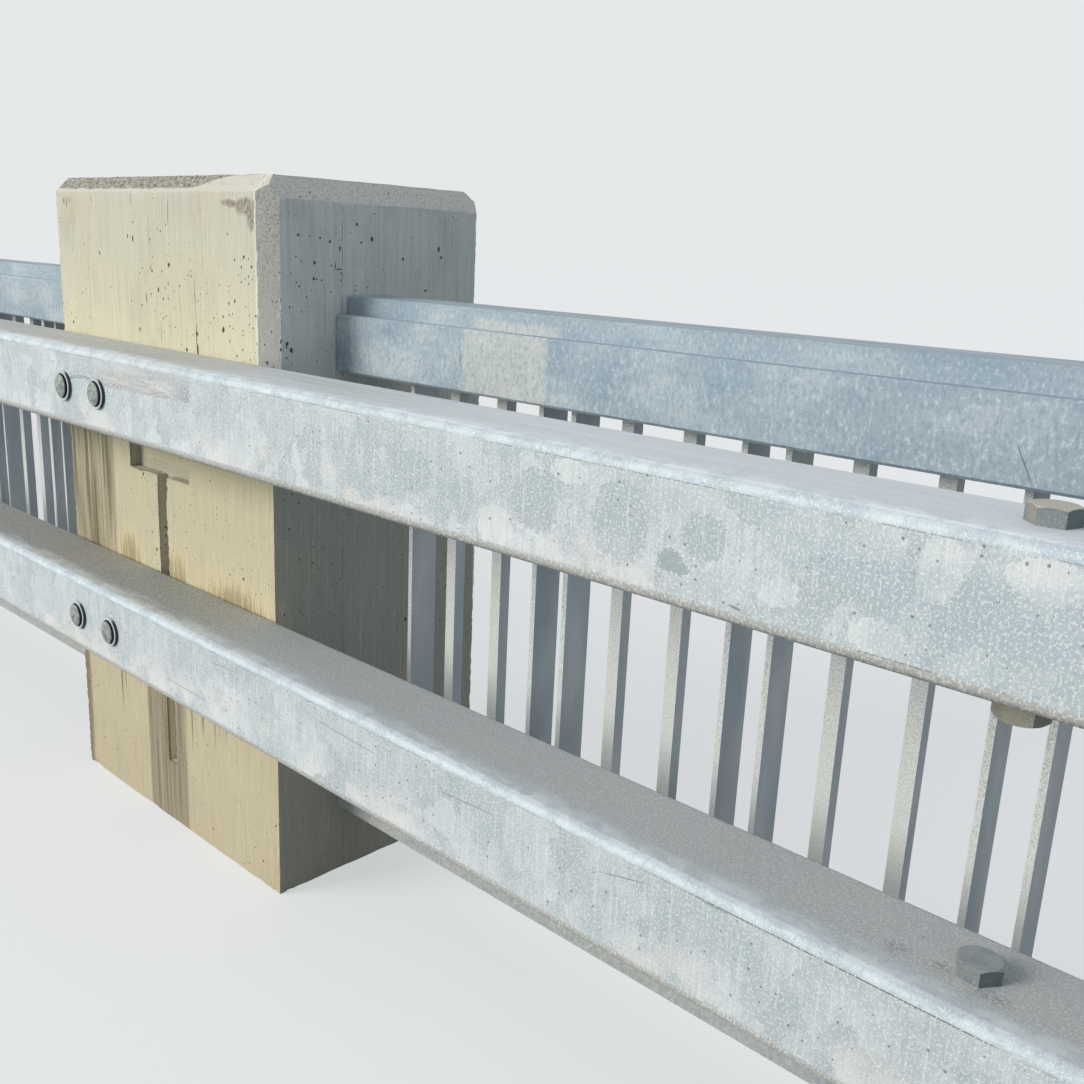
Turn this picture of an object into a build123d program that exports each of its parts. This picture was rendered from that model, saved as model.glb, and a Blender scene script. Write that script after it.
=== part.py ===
# Bridge railing in four bays: broad concrete posts, two galvanised square tubes
# on their road face, and a barred steel panel between each pair of posts.
# Origin: centre of the middle post's base. X runs along the railing, -Y faces the
# road, Z is up. All sizes are in millimetres.

import os

from build123d import *

os.makedirs("parts", exist_ok=True)

# Layout
bay_count = 4
bay_pitch = 4030.0          # post centre to post centre
tube_end_run = 900.0        # tube past the centre of each end post

# Concrete posts
post_width = 788.0
post_depth = 495.0
post_height = 1334.0
top_chamfer = 30.0
top_chamfer_end = 39.0       # height of the top chamfer on the end towards +X
corner_chamfer_front = 40.0  # corner chamfer as measured across the road face
corner_chamfer_side = 21.5   # the same chamfer as measured across the end

# Groove cast in the post's road face and back face, a T with a hook
groove_depth = 22.0
groove_bar_left = -125.0
groove_bar_right = 107.0
groove_bar_foot = 761.0
groove_bar_height = 28.0
groove_hook_width = 61.0
groove_hook_height = 100.0
groove_stem_width = 33.0
groove_stem_foot = 136.0

# Pockets in the post's back face for the nuts of the bolts that hold the tubes
post_bolt_spacing = 133.0
pocket_side = 76.0
pocket_depth = 40.0

# Square tubes
tube_side = 152.4
tube_wall = 6.35
tube_corner = 12.7
upper_tube_height = 942.0   # centre of the upper tube above the base
tube_spacing = 457.2        # upper tube centre to lower tube centre
tube_joint_gap = 10.0
bays_per_tube = 2

# Sleeves inside the tube joints
sleeve_wall = 9.5
sleeve_corner = 4.0
sleeve_clearance = 0.3
splice_near = 100.0         # joint centre to the nearer bolt
splice_far = 297.0          # joint centre to the farther bolt
splice_edge = 60.0          # farther bolt to the sleeve's end

# Hex bolts down through tubes and sleeves
splice_bolt_diameter = 28.6
splice_head_flats = 42.9
splice_head_height = 17.5
splice_nut_height = 25.0
splice_bolt_tail = 8.0
hole_clearance = 0.8        # on the radius
shank_sides = 12            # sides drawn on a shank and on a hole that it fills
head_turn = -13.4           # degrees, first head; each next one is turned further
head_turn_step = 23.0

# Panel rails
rail_width = 152.4
rail_height = 101.6
rail_wall = 6.35
rail_corner = 4.0
rail_setback = 136.0        # post's road face to the rail's front
rail_end_gap = 2.0
top_rail_foot = 1003.2
bottom_rail_foot = 140.0
cap_width = 101.6
cap_height = 32.0
cap_wall = 6.35
cap_corner = 3.0

# Anchors that carry the rail ends
anchor_length = 110.0
anchor_wall = 8.0
anchor_clearance = 0.3

# Bars of the panels: units of a flat, two squares and a flat
flat_depth = 57.0
flat_thickness = 9.5
square_side = 22.2
square_forward = 7.0        # squares stand this far in front of the flats' centre
flat_to_square = 97.5
square_to_square = 112.0
flat_to_flat = 67.5         # last flat of a unit to the first of the next
bar_end_space = 60.0        # least room between a post and the first flat

# Places worked out from the sizes above
post_front = -post_depth / 2
post_back = post_depth / 2
post_places = [(i - bay_count / 2) * bay_pitch for i in range(bay_count + 1)]
bay_places = [(a + b) / 2 for a, b in zip(post_places, post_places[1:])]
bay_clear = bay_pitch - post_width
tube_centre_y = post_front - tube_side / 2
tube_rows = {"upper": upper_tube_height, "lower": upper_tube_height - tube_spacing}
splice_hole_radius = splice_bolt_diameter / 2 + hole_clearance
splice_offsets = (-splice_far, -splice_near, splice_near, splice_far)
joint_places = bay_places[::bays_per_tube]
tube_ends = [post_places[0] - tube_end_run, post_places[-1] + tube_end_run]
rail_centre_y = post_front + rail_setback + rail_width / 2
rail_length = bay_clear - 2 * rail_end_gap
unit_width = 2 * flat_to_square + square_to_square
unit_pitch = unit_width + flat_to_flat
units_per_bay = int((bay_clear - 2 * bar_end_space + flat_to_flat) // unit_pitch)


def save(name, *solids):
    """Write one named piece, or a group of like pieces, to its own file."""
    shape = solids[0] if len(solids) == 1 else Compound(children=list(solids))
    export_step(shape, f"parts/{name}.step")


def box_between(x, y, z):
    """A block between two corners, each range given as (low, high)."""
    size = [high - low for low, high in (x, y, z)]
    centre = [(high + low) / 2 for low, high in (x, y, z)]
    return Pos(*centre) * Box(*size)


def along_x(section, start, length, y, z):
    """Extrude a section drawn in Y and Z along the railing."""
    plane = Plane(origin=(start, y, z), x_dir=(0, 1, 0), z_dir=(1, 0, 0))
    return extrude(plane * section, amount=length)


def upright(section, foot, top, x, y):
    """Extrude a section drawn in X and Y upwards."""
    return extrude(Pos(x, y, foot) * section, amount=top - foot)


def chamfered_rectangle(width, height, across, along):
    """A rectangle with its corners cut off, across on its width and along on its height."""
    corners = []
    for sx, sy in ((1, 1), (-1, 1), (-1, -1), (1, -1)):
        on_side = (sx * width / 2, sy * (height / 2 - along))
        on_end = (sx * (width / 2 - across), sy * height / 2)
        corners += [on_side, on_end] if sx * sy > 0 else [on_end, on_side]
    return make_face(Polyline(*corners, close=True))


def hollow_section(width, height, wall, corner):
    """A box section with small cut corners outside and square corners inside."""
    outer = chamfered_rectangle(width, height, corner, corner)
    return outer - Rectangle(width - 2 * wall, height - 2 * wall)


def groove(face_y, inward):
    """The hooked T in one face of a post, as the solid to cut away."""
    y = sorted((face_y - inward, face_y + inward * groove_depth))
    bar_top = groove_bar_foot + groove_bar_height
    bar = box_between((groove_bar_left, groove_bar_right), y, (groove_bar_foot, bar_top))
    hook = box_between((groove_bar_left, groove_bar_left + groove_hook_width), y,
                       (groove_bar_foot, bar_top + groove_hook_height))
    stem = box_between((-groove_stem_width / 2, groove_stem_width / 2), y,
                       (groove_stem_foot, bar_top))
    return bar + hook + stem


def nut_pockets():
    """Square pockets in the back face, two at each tube's height, as one solid to cut."""
    depth = (post_back - pocket_depth, post_back + 1)
    pockets = [box_between((x - pocket_side / 2, x + pocket_side / 2), depth,
                           (height - pocket_side / 2, height + pocket_side / 2))
               for height in tube_rows.values()
               for x in (-post_bolt_spacing / 2, post_bolt_spacing / 2)]
    return Part() + pockets


def chamfer_strip(across, down):
    """Section to cut off a corner: a triangle from the origin towards -X and -Y."""
    return make_face(Polyline((0, 0), (-across, 0), (0, -down), close=True))


def concrete_post():
    """One cast post at X = 0. Its top is chamfered on all sides but the end towards -X, and
    its corners towards +X are chamfered down to the upper tube."""
    post = upright(Rectangle(post_width, post_depth), 0, post_height, 0, 0)
    for side, face in ((-1, post_front), (1, post_back)):
        post -= along_x(chamfer_strip(side * top_chamfer, top_chamfer),
                        -post_width / 2, post_width, face, post_height)
        post -= upright(chamfer_strip(corner_chamfer_front, side * corner_chamfer_side),
                        upper_tube_height, post_height, post_width / 2, face)
    end = Plane(origin=(post_width / 2, post_back, post_height),
                x_dir=(1, 0, 0), z_dir=(0, -1, 0))
    post -= extrude(end * chamfer_strip(top_chamfer, top_chamfer_end), amount=post_depth)
    return post - groove(post_front, 1) - groove(post_back, -1) - nut_pockets()


def splice_hole(x, height, section):
    """A straight hole down through the tube and whatever is inside it."""
    reach = tube_side / 2 + 1
    return upright(section, height - reach, height + reach, x, tube_centre_y)


def filled_hole():
    """Section of a hole that a bolt of the railing fills."""
    return RegularPolygon(splice_hole_radius, shank_sides, major_radius=False)


def square_tube(start, stop, height):
    """One length of tube, with holes at its joints and round ones at a free end."""
    outer = RectangleRounded(tube_side, tube_side, tube_corner)
    inner = Rectangle(tube_side - 2 * tube_wall, tube_side - 2 * tube_wall)
    tube = along_x(outer - inner, start, stop - start, tube_centre_y, height)
    for section, centres in ((filled_hole(), joint_places),
                             (Circle(splice_hole_radius), tube_ends)):
        for x in [centre + offset for centre in centres for offset in splice_offsets]:
            if start < x < stop:
                tube -= splice_hole(x, height, section)
    return tube


def splice_sleeve(joint, height):
    """The smaller tube that slides inside a joint and takes its bolts."""
    side = tube_side - 2 * tube_wall - 2 * sleeve_clearance
    reach = splice_far + splice_edge
    section = hollow_section(side, side, sleeve_wall, sleeve_corner)
    sleeve = along_x(section, joint - reach, 2 * reach, tube_centre_y, height)
    for offset in splice_offsets:
        sleeve -= splice_hole(joint + offset, height, filled_hole())
    return sleeve


def hexagon(turn):
    """Outline of a bolt head or nut, turned about its axis by some degrees."""
    return Rot(0, 0, turn) * RegularPolygon(splice_head_flats / 2, 6, major_radius=False)


def splice_bolt(x, height, turn):
    """Hex bolt dropped through the tube and its sleeve from above."""
    seat = height + tube_side / 2
    tip = height - tube_side / 2 - splice_nut_height - splice_bolt_tail
    shank = RegularPolygon(splice_bolt_diameter / 2, shank_sides)
    return (upright(hexagon(turn), seat, seat + splice_head_height, x, tube_centre_y)
            + upright(shank, tip, seat + splice_head_height / 2, x, tube_centre_y))


def splice_nut(x, height, turn):
    """Hex nut drawn up against the tube's underside."""
    seat = height - tube_side / 2
    bore = RegularPolygon(splice_bolt_diameter / 2, shank_sides)
    return upright(hexagon(turn) - bore, seat - splice_nut_height, seat, x, tube_centre_y)


def panel_rail(bay, foot):
    """Hollow rail between two posts."""
    section = hollow_section(rail_width, rail_height, rail_wall, rail_corner)
    return along_x(section, bay - rail_length / 2, rail_length, rail_centre_y,
                   foot + rail_height / 2)


def rail_cap(bay):
    """Channel laid upside down along the top rail."""
    outer = Rectangle(cap_width, cap_height)
    outer = chamfer(outer.vertices().group_by(Axis.Y)[-1], cap_corner)
    inner = Pos(0, -cap_wall) * Rectangle(cap_width - 2 * cap_wall, cap_height)
    return along_x(outer - inner, bay - rail_length / 2, rail_length, rail_centre_y,
                   top_rail_foot + rail_height + cap_height / 2)


def bar_places(bay):
    """X places of the flat bars and of the square bars of one bay."""
    run = units_per_bay * unit_pitch - flat_to_flat
    starts = [bay - run / 2 + i * unit_pitch for i in range(units_per_bay)]
    flats = [s + step for s in starts for step in (0, unit_width)]
    squares = [s + flat_to_square + step for s in starts for step in (0, square_to_square)]
    return flats, squares


def panel_bar(x, y, width, depth):
    """One bar from the bottom rail's top to the top rail's underside."""
    return upright(Rectangle(width, depth), bottom_rail_foot + rail_height,
                   top_rail_foot, x, y)


def rail_anchor(post, side, foot):
    """Short hollow arm on the post's side that fills a rail's end."""
    width = rail_width - 2 * rail_wall - 2 * anchor_clearance
    height = rail_height - 2 * rail_wall - 2 * anchor_clearance
    face = post + side * post_width / 2
    section = Rectangle(width, height) - Rectangle(width - 2 * anchor_wall,
                                                   height - 2 * anchor_wall)
    return along_x(section, min(face, face + side * anchor_length), anchor_length,
                   rail_centre_y, foot + rail_height / 2)


# Posts
post = concrete_post()
for number, x in enumerate(post_places, start=1):
    save(f"post_{number}", Pos(x, 0, 0) * post)

# Tubes, in lengths that meet at mid-bay, with a sleeve inside each joint
half_gap = tube_joint_gap / 2
starts = tube_ends[:1] + [joint + half_gap for joint in joint_places]
stops = [joint - half_gap for joint in joint_places] + tube_ends[1:]
for row, height in tube_rows.items():
    for number, (start, stop) in enumerate(zip(starts, stops), start=1):
        save(f"{row}_tube_{number}", square_tube(start, stop, height))
    save(f"{row}_sleeves", *[splice_sleeve(joint, height) for joint in joint_places])

# Bolts and nuts at the tube joints
spots = [(joint + offset, height) for height in tube_rows.values()
         for joint in joint_places for offset in splice_offsets]
turns = [head_turn + i * head_turn_step for i in range(len(spots))]
save("splice_bolts", *[splice_bolt(*spot, turn) for spot, turn in zip(spots, turns)])
save("splice_nuts", *[splice_nut(*spot, -turn) for spot, turn in zip(spots, turns)])

# Panels between the posts
for number, bay in enumerate(bay_places, start=1):
    flats, squares = bar_places(bay)
    save(f"top_rail_{number}", panel_rail(bay, top_rail_foot))
    save(f"rail_cap_{number}", rail_cap(bay))
    save(f"bottom_rail_{number}", panel_rail(bay, bottom_rail_foot))
    save(f"flat_bars_{number}",
         *[panel_bar(x, rail_centre_y, flat_thickness, flat_depth) for x in flats])
    save(f"square_bars_{number}",
         *[panel_bar(x, rail_centre_y - square_forward, square_side, square_side)
           for x in squares])

# Anchors for the rail ends
anchors = []
for left, right in zip(post_places, post_places[1:]):
    for foot in (top_rail_foot, bottom_rail_foot):
        anchors += [rail_anchor(left, 1, foot), rail_anchor(right, -1, foot)]
save("rail_anchors", *anchors)
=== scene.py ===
import math

import bmesh
import bpy
from mathutils import Matrix, Vector, noise
from mathutils.kdtree import KDTree


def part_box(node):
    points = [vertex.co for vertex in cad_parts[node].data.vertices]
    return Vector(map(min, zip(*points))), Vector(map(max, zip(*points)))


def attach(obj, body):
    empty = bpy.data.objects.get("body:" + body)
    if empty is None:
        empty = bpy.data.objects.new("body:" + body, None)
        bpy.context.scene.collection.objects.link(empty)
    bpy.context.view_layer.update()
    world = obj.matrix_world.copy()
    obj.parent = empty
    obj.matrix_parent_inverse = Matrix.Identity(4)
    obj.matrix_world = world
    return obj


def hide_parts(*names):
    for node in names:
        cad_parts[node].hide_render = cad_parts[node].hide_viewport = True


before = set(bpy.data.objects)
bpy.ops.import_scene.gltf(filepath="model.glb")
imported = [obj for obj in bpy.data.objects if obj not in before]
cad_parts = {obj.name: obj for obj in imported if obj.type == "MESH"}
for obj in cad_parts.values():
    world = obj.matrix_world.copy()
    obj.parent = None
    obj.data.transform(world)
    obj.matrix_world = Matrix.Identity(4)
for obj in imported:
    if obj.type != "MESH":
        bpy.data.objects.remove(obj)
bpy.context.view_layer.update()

scene = bpy.context.scene
scene.view_settings.view_transform = "Standard"


# Viewpoint
# A view from standing height over the front of the railing, looking down and to the left
# along it. The three columns are the camera's right, up and backward directions.
view = bpy.data.cameras.new("viewpoint")
view.lens = 36.91
view.sensor_width = 36.0
view.clip_end = 200.0
camera = bpy.data.objects.new("viewpoint", view)
scene.collection.objects.link(camera)
camera.matrix_world = Matrix(((0.72880, -0.20528, 0.65322, 2.033),
                              (0.68327, 0.15608, -0.71328, -1.332),
                              (0.04446, 0.96616, 0.25402, 1.231),
                              (0.0, 0.0, 0.0, 1.0)))
scene.camera = camera


# Studio: floor and light
# A pale matt floor under an even pale sky, and one broad soft lamp low on the front side
# and to the left, so that the fronts are lit and the sides are in soft shade.
def linear(colour):
    """An sRGB hex colour as the linear red, green, blue and alpha that a shader takes."""
    parts = [int(colour[i:i + 2], 16) / 255 for i in (0, 2, 4)]
    return [c / 12.92 if c <= 0.04045 else ((c + 0.055) / 1.055) ** 2.4 for c in parts] + [1.0]


def add(tree, kind, settings=None, inputs=None):
    """Adds a shader node with its settings and its inputs. An input is a value, the output of
    another node, or a node, which stands for its first output."""
    made = tree.nodes.new("ShaderNode" + kind)
    for name, value in (settings or {}).items():
        if name == "stops":
            ramp = made.color_ramp.elements
            while len(ramp) < len(value):
                ramp.new(0.5)
            for stop, (place, colour) in zip(ramp, value):
                stop.position = place
                stop.color = linear(colour)
        else:
            setattr(made, name, value)
    for name, value in (inputs or {}).items():
        if isinstance(value, bpy.types.Node):
            value = value.outputs[0]
        if isinstance(value, bpy.types.NodeSocket):
            tree.links.new(value, made.inputs[name])
        else:
            made.inputs[name].default_value = value
    return made


def seen_by_eye(tree):
    """A mask that is 1 for what is seen, also in a mirror or through glass, 0 for lighting."""
    path = add(tree, "LightPath").outputs
    seen = add(tree, "Math", {"operation": "MAXIMUM"},
               {0: path["Is Camera Ray"], 1: path["Is Glossy Ray"]})
    return add(tree, "Math", {"operation": "MAXIMUM"}, {0: seen, 1: path["Is Transmission Ray"]})


sky = bpy.data.worlds.new("pale_sky")
sky.use_nodes = True
sky.node_tree.nodes.clear()
scene.world = sky
tree = sky.node_tree
lighting = add(tree, "Background", inputs={"Color": linear("B4BAC2"), "Strength": 1.0})
backdrop = add(tree, "Background", inputs={"Color": linear("E6E8E9"), "Strength": 1.0})
both = add(tree, "MixShader", inputs={0: seen_by_eye(tree), 1: lighting, 2: backdrop})
add(tree, "OutputWorld", inputs={"Surface": both})

lamp = bpy.data.lights.new("soft_lamp", "SUN")
lamp.energy = 2.75
lamp.angle = math.radians(30)
lamp.color = (1.0, 0.975, 0.93)
soft_lamp = bpy.data.objects.new("soft_lamp", lamp)
soft_lamp.rotation_euler = Vector((-0.50, -0.80, 0.36)).to_track_quat("Z", "Y").to_euler()
scene.collection.objects.link(soft_lamp)

floor_paint = bpy.data.materials.new("pale_matt_floor")
floor_paint.use_nodes = True
tree = floor_paint.node_tree
tree.nodes.clear()
matt = add(tree, "BsdfDiffuse", inputs={"Color": linear("A0A09E")})
pale = add(tree, "Emission", inputs={"Color": linear("BFC1C2"), "Strength": 1.0})
lift = add(tree, "MixShader", inputs={0: seen_by_eye(tree), 2: pale})
both = add(tree, "AddShader", inputs={0: matt, 1: lift})
add(tree, "OutputMaterial", inputs={"Surface": both})


def place_piece(bm, name, finish, sharp=None):
    """Puts a finished mesh in the scene as a piece. With an angle given, the piece is shaded
    smooth but for edges sharper than that."""
    mesh = bpy.data.meshes.new(name)
    bm.to_mesh(mesh)
    bm.free()
    if sharp is not None:
        mesh.shade_smooth()
        mesh.set_sharp_from_angle(angle=math.radians(sharp))
    mesh.materials.append(finish)
    piece = bpy.data.objects.new(name, mesh)
    scene.collection.objects.link(piece)
    return piece


bm = bmesh.new()
bmesh.ops.create_grid(bm, x_segments=1, y_segments=1, size=90.0,
                      matrix=Matrix.Translation((0, 0, -0.0005)))
place_piece(bm, "floor", floor_paint)


# Posts
# Five posts of reinforced concrete, cast in board forms: chamfered at the top, with a hooked
# T cut into the front and the back. The air bubbles of the casting are open as small round
# holes, and weather has crumbled the edges and the chamfer.
bay_pitch = 4.030
post_top = 1.334
post_front = -0.2475
post_half_width = 0.394
top_chamfer = 0.030
edge_reach = 0.014        # how far from an edge the crumbling goes
fine_step = 0.004         # spacing of the mesh near an edge, about the size of the grit


def blots(tree, where, marks, axis=1, plane=(-0.25, 0.1), boxes=False):
    """A mask that is 1 in the middle of each mark and 0 at its rim and beyond. The marks lie in
    a plane across an axis. Each has its place and its half sizes in the plane, then a tilt in
    degrees if it has one. The plane is given as its place on the axis, which is on the posts'
    front unless stated, and how far the marks reach from it. They are oval, or boxes."""
    total = None
    for u, v, half_u, half_v, *tilt in marks:
        centre, half = [u, v], [half_u, half_v]
        centre.insert(axis, plane[0])
        half.insert(axis, plane[1])
        if tilt:
            turn = [math.radians(tilt[0]) if i == axis else 0.0 for i in range(3)]
            place = add(tree, "Mapping", {"vector_type": "TEXTURE"},
                        {"Vector": where, "Location": centre, "Scale": half, "Rotation": turn})
        else:
            place = add(tree, "VectorMath", {"operation": "MULTIPLY_ADD"}, {
                0: where, 1: [1 / h for h in half], 2: [-c / h for c, h in zip(centre, half)]})
        if boxes:
            away = add(tree, "VectorMath", {"operation": "ABSOLUTE"}, {0: place})
            away = add(tree, "SeparateXYZ", {}, {0: away}).outputs
            far = add(tree, "Math", {"operation": "MAXIMUM"}, {0: away[0], 1: away[2]})
            fade = add(tree, "Math", {"operation": "SUBTRACT", "use_clamp": True},
                       {0: 1.0, 1: far})
        else:
            fade = add(tree, "TexGradient", {"gradient_type": "SPHERICAL"},
                       {"Vector": place}).outputs["Fac"]
        if total is not None:
            fade = add(tree, "Math", {"operation": "MAXIMUM"}, {0: total, 1: fade})
        total = fade
    return total


def grain(tree, where, scales, detail=3.0, roughness=0.55, offset=0.0):
    """Noise whose features repeat about once in 1/scale metres along each axis."""
    place = add(tree, "VectorMath", {"operation": "MULTIPLY_ADD"},
                {0: where, 1: scales, 2: (offset, offset, offset)})
    return add(tree, "TexNoise", {}, {"Vector": place, "Scale": 1.0,
                                      "Detail": detail, "Roughness": roughness}).outputs["Fac"]


def coat(tree, under, colour, amount, mask, low, high, where=None):
    """Lays a colour over what is under it: by the amount where the mask is past high, not at
    all before low, and smoothly in between. A second mask can weaken it further."""
    share = add(tree, "MapRange", {"interpolation_type": "SMOOTHSTEP"},
                {"Value": mask, "From Min": low, "From Max": high, "To Max": amount})
    if where is not None:
        share = add(tree, "Math", {"operation": "MULTIPLY"}, {0: share, 1: where})
    return add(tree, "Mix", {"data_type": "RGBA"},
               {0: share, 6: under,
                7: linear(colour) if isinstance(colour, str) else colour}).outputs[2]


def new_finish(name):
    """A new material and its node tree, with the place on the piece, the same as X, Y and Z,
    and the way the surface faces there."""
    finish = bpy.data.materials.new(name)
    finish.use_nodes = True
    tree = finish.node_tree
    tree.nodes.clear()
    here = add(tree, "TexCoord").outputs["Object"]
    normal = add(tree, "NewGeometry").outputs["Normal"]
    return (finish, tree, here, add(tree, "SeparateXYZ", inputs={0: here}).outputs,
            add(tree, "SeparateXYZ", inputs={0: normal}).outputs)


def end_finish(tree, colour, relief, strength, reach, gloss):
    """Ends a finish with its relief as a bump, its colour and gloss, and its output."""
    bump = add(tree, "Bump", {}, {"Height": relief, "Strength": strength, "Distance": reach})
    surface = add(tree, "BsdfPrincipled", {}, {"Base Color": colour, "Normal": bump, **gloss})
    add(tree, "OutputMaterial", inputs={"Surface": surface})


# Board-cast concrete: dull and open-pored, so it scatters light and has hardly any gloss.
concrete, tree, here, (along, across, height), facing = new_finish("board_cast_concrete")
sideways = add(tree, "Math", {"operation": "ABSOLUTE"}, {0: facing[0]})
own_along = add(tree, "Math", {"operation": "WRAP"},
                {0: along, 1: bay_pitch / 2, 2: -bay_pitch / 2})
on_post = add(tree, "CombineXYZ", inputs={0: own_along, 1: across, 2: height})
# Cream fronts, a little whiter near the top, and greyer, cooler sides, painted darker below about
# 1 m as painted shade from the tubes.
share = add(tree, "Math", {"operation": "DIVIDE"}, {0: height, 1: post_top})
tone = add(tree, "ValToRGB", {"stops": [(0.0, "C2B698"), (0.30, "C8BEA0"), (0.46, "C8BFA1"),
                                        (0.66, "C9C1A2"), (0.76, "D3CCB0"), (0.90, "CCC9B5"),
                                        (1.0, "C9C6B6")]}, {0: share})
# Side tone: painted darker below about 1 m, painted shade from the tubes.
side = add(tree, "ValToRGB", {"stops": [(0.0, "A9A99C"), (0.60, "ABADA5"), (0.80, "CBD1CD"),
                                        (1.0, "D2D8D5")]}, {0: share})
colour = coat(tree, tone, side, 1.0, sideways, 0.3, 0.9)
# Patches a hand or two wide where the surface skin is yellower or greyer.
frontal = add(tree, "Math", {"operation": "SUBTRACT"}, {0: 1.0, 1: sideways})
colour = coat(tree, colour, "C8C1A4", 0.5, grain(tree, here, (5, 5, 3), 5, 0.65), 0.50, 0.68,
              frontal)
colour = coat(tree, colour, "A9A796", 0.25, grain(tree, here, (9, 9, 5), 5, 0.65, 3.0), 0.50, 0.70)
# Fine upright streaks, 5 to 8 mm apart, from the boards of the form and from rain.
streak = grain(tree, here, (210, 210, 6), 4, 0.7)
patchy = grain(tree, here, (9, 9, 6), 3, 0.6, 8.0)
colour = coat(tree, colour, "8E8974", 0.42, streak, 0.49, 0.66, patchy)
colour = coat(tree, colour, "EAE6D8", 0.28, streak, 0.46, 0.30)
# Rain off the tubes leaves dark drips, and a brown wash low on the left. A band just under the
# upper tube is darker in streaks.
runs = grain(tree, here, (85, 85, 2.4), 4, 0.6)
wash = blots(tree, on_post, [(-0.31, 0.59, 0.14, 0.15)])
colour = coat(tree, colour, "978C70", 0.60, wash, 0.05, 0.60)
spread = blots(tree, on_post, [(-0.305, 0.75, 0.125, 0.3), (-0.206, 0.7, 0.01, 0.3, 0.6)])
spread = add(tree, "MapRange", {"interpolation_type": "SMOOTHSTEP"},
             {"Value": spread, "From Min": 0.02, "From Max": 0.42})
colour = coat(tree, colour, "8E866D", 0.62, spread, 0.0, 1.0)
colour = coat(tree, colour, "635C48", 0.82, runs, 0.47, 0.60, spread)
colour = coat(tree, colour, "BDB597", 0.60, runs, 0.45, 0.36, spread)
# A grey band runs down to the foot beside the cut T, sharp on its left where a form board
# ended, and thin dark lines hang below the tube to the right of it.
band = add(tree, "MapRange", {}, {"Value": own_along, "From Min": -0.102, "From Max": -0.096})
fading = add(tree, "MapRange", {"interpolation_type": "SMOOTHSTEP"},
             {"Value": own_along, "From Min": 0.072, "From Max": 0.040})
band = add(tree, "Math", {"operation": "MULTIPLY"}, {0: band, 1: fading})
low_part = add(tree, "MapRange", {}, {"Value": height, "From Min": 0.50, "From Max": 0.44})
band = add(tree, "Math", {"operation": "MULTIPLY"}, {0: band, 1: low_part})
colour = coat(tree, colour, "978D78", 0.88, band, 0.0, 1.0)
colour = coat(tree, colour, "675F4D", 0.60, runs, 0.48, 0.64, band)
colour = coat(tree, colour, "B8AE95", 0.50, runs, 0.44, 0.34, band)
drips = blots(tree, on_post, [(0.086, 0.33, 0.0045, 0.17, 0.6), (0.128, 0.35, 0.008, 0.14),
    (0.172, 0.35, 0.004, 0.15, -0.8), (0.19, 0.35, 0.003, 0.12), (0.217, 0.35, 0.004, 0.125, 0.4),
    (-0.214, 0.34, 0.006, 0.19), (-0.196, 0.36, 0.0045, 0.16), (-0.39, 0.22, 0.03, 0.42)])
colour = coat(tree, colour, "716850", 0.80, drips, 0.02, 0.55)
# A band just under the upper tube is darkened in streaks.
streaked_band_under_tube = blots(tree, on_post, [(0.2, 0.865, 0.5, 0.04)])
colour = coat(tree, colour, "7A705A", 0.60, streaked_band_under_tube, 0.05, 0.7, runs)
# Splashes off the lower tube have left ragged brown and yellow tongues just above it.
tongues = grain(tree, here, (150, 150, 8), 5, 0.75, 9.0)
splash = blots(tree, on_post, [(-0.145, 0.56, 0.075, 0.09), (0.05, 0.545, 0.06, 0.11),
    (0.255, 0.55, 0.19, 0.08)])
reached = add(tree, "MapRange", {}, {"Value": splash, "From Max": 0.15})
splash = add(tree, "Math", {"operation": "MULTIPLY_ADD"}, {0: splash, 1: 0.42, 2: tongues})
colour = coat(tree, colour, "DACB9F", 0.50, splash, 0.54, 0.68, reached)
colour = coat(tree, colour, "8F8060", 0.70, splash, 0.62, 0.84, reached)
colour = coat(tree, colour, "DDD0A8", 0.45, tongues, 0.47, 0.36, reached)
# Marks of its own on the post in view: a smudge under the chamfer, faint lines, cracks, single
# holes and a form joint.
crumbs = grain(tree, here, (150, 150, 150), 5, 0.75)
fray = grain(tree, here, (90, 90, 40), 4, 0.7, 1.0)
grit = grain(tree, here, (260, 260, 150), 4, 0.75, 5.0)
smudge = blots(tree, here, [(0.322, 1.28, 0.046, 0.021), (0.284, 1.284, 0.046, 0.01, 3),
    (0.342, 1.262, 0.018, 0.034)])
smudge = add(tree, "Math", {"operation": "MULTIPLY_ADD"}, {0: fray, 1: 0.8, 2: smudge})
smudge = add(tree, "MapRange", {}, {"Value": smudge, "From Min": 0.55, "From Max": 0.95})
colour = coat(tree, colour, "A0998A", 0.70, smudge, 0.0, 1.0)
colour = coat(tree, colour, "6E675A", 0.70, grit, 0.47, 0.57, smudge)
faint = blots(tree, here, [(0.153, 1.12, 0.002, 0.07, -1), (0.067, 1.268, 0.003, 0.036, 4),
    (-0.072, 1.291, 0.003, 0.016), (-0.235, 1.29, 0.0025, 0.014), (-0.359, 1.286, 0.006, 0.01),
    (-0.346, 1.283, 0.005, 0.017), (-0.334, 1.287, 0.004, 0.01), (0.026, 1.045, 0.0025, 0.034, 2),
    (-0.026, 1.107, 0.005, 0.016)])
colour = coat(tree, colour, "7D7663", 0.70, faint, 0.10, 0.7)
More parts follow.
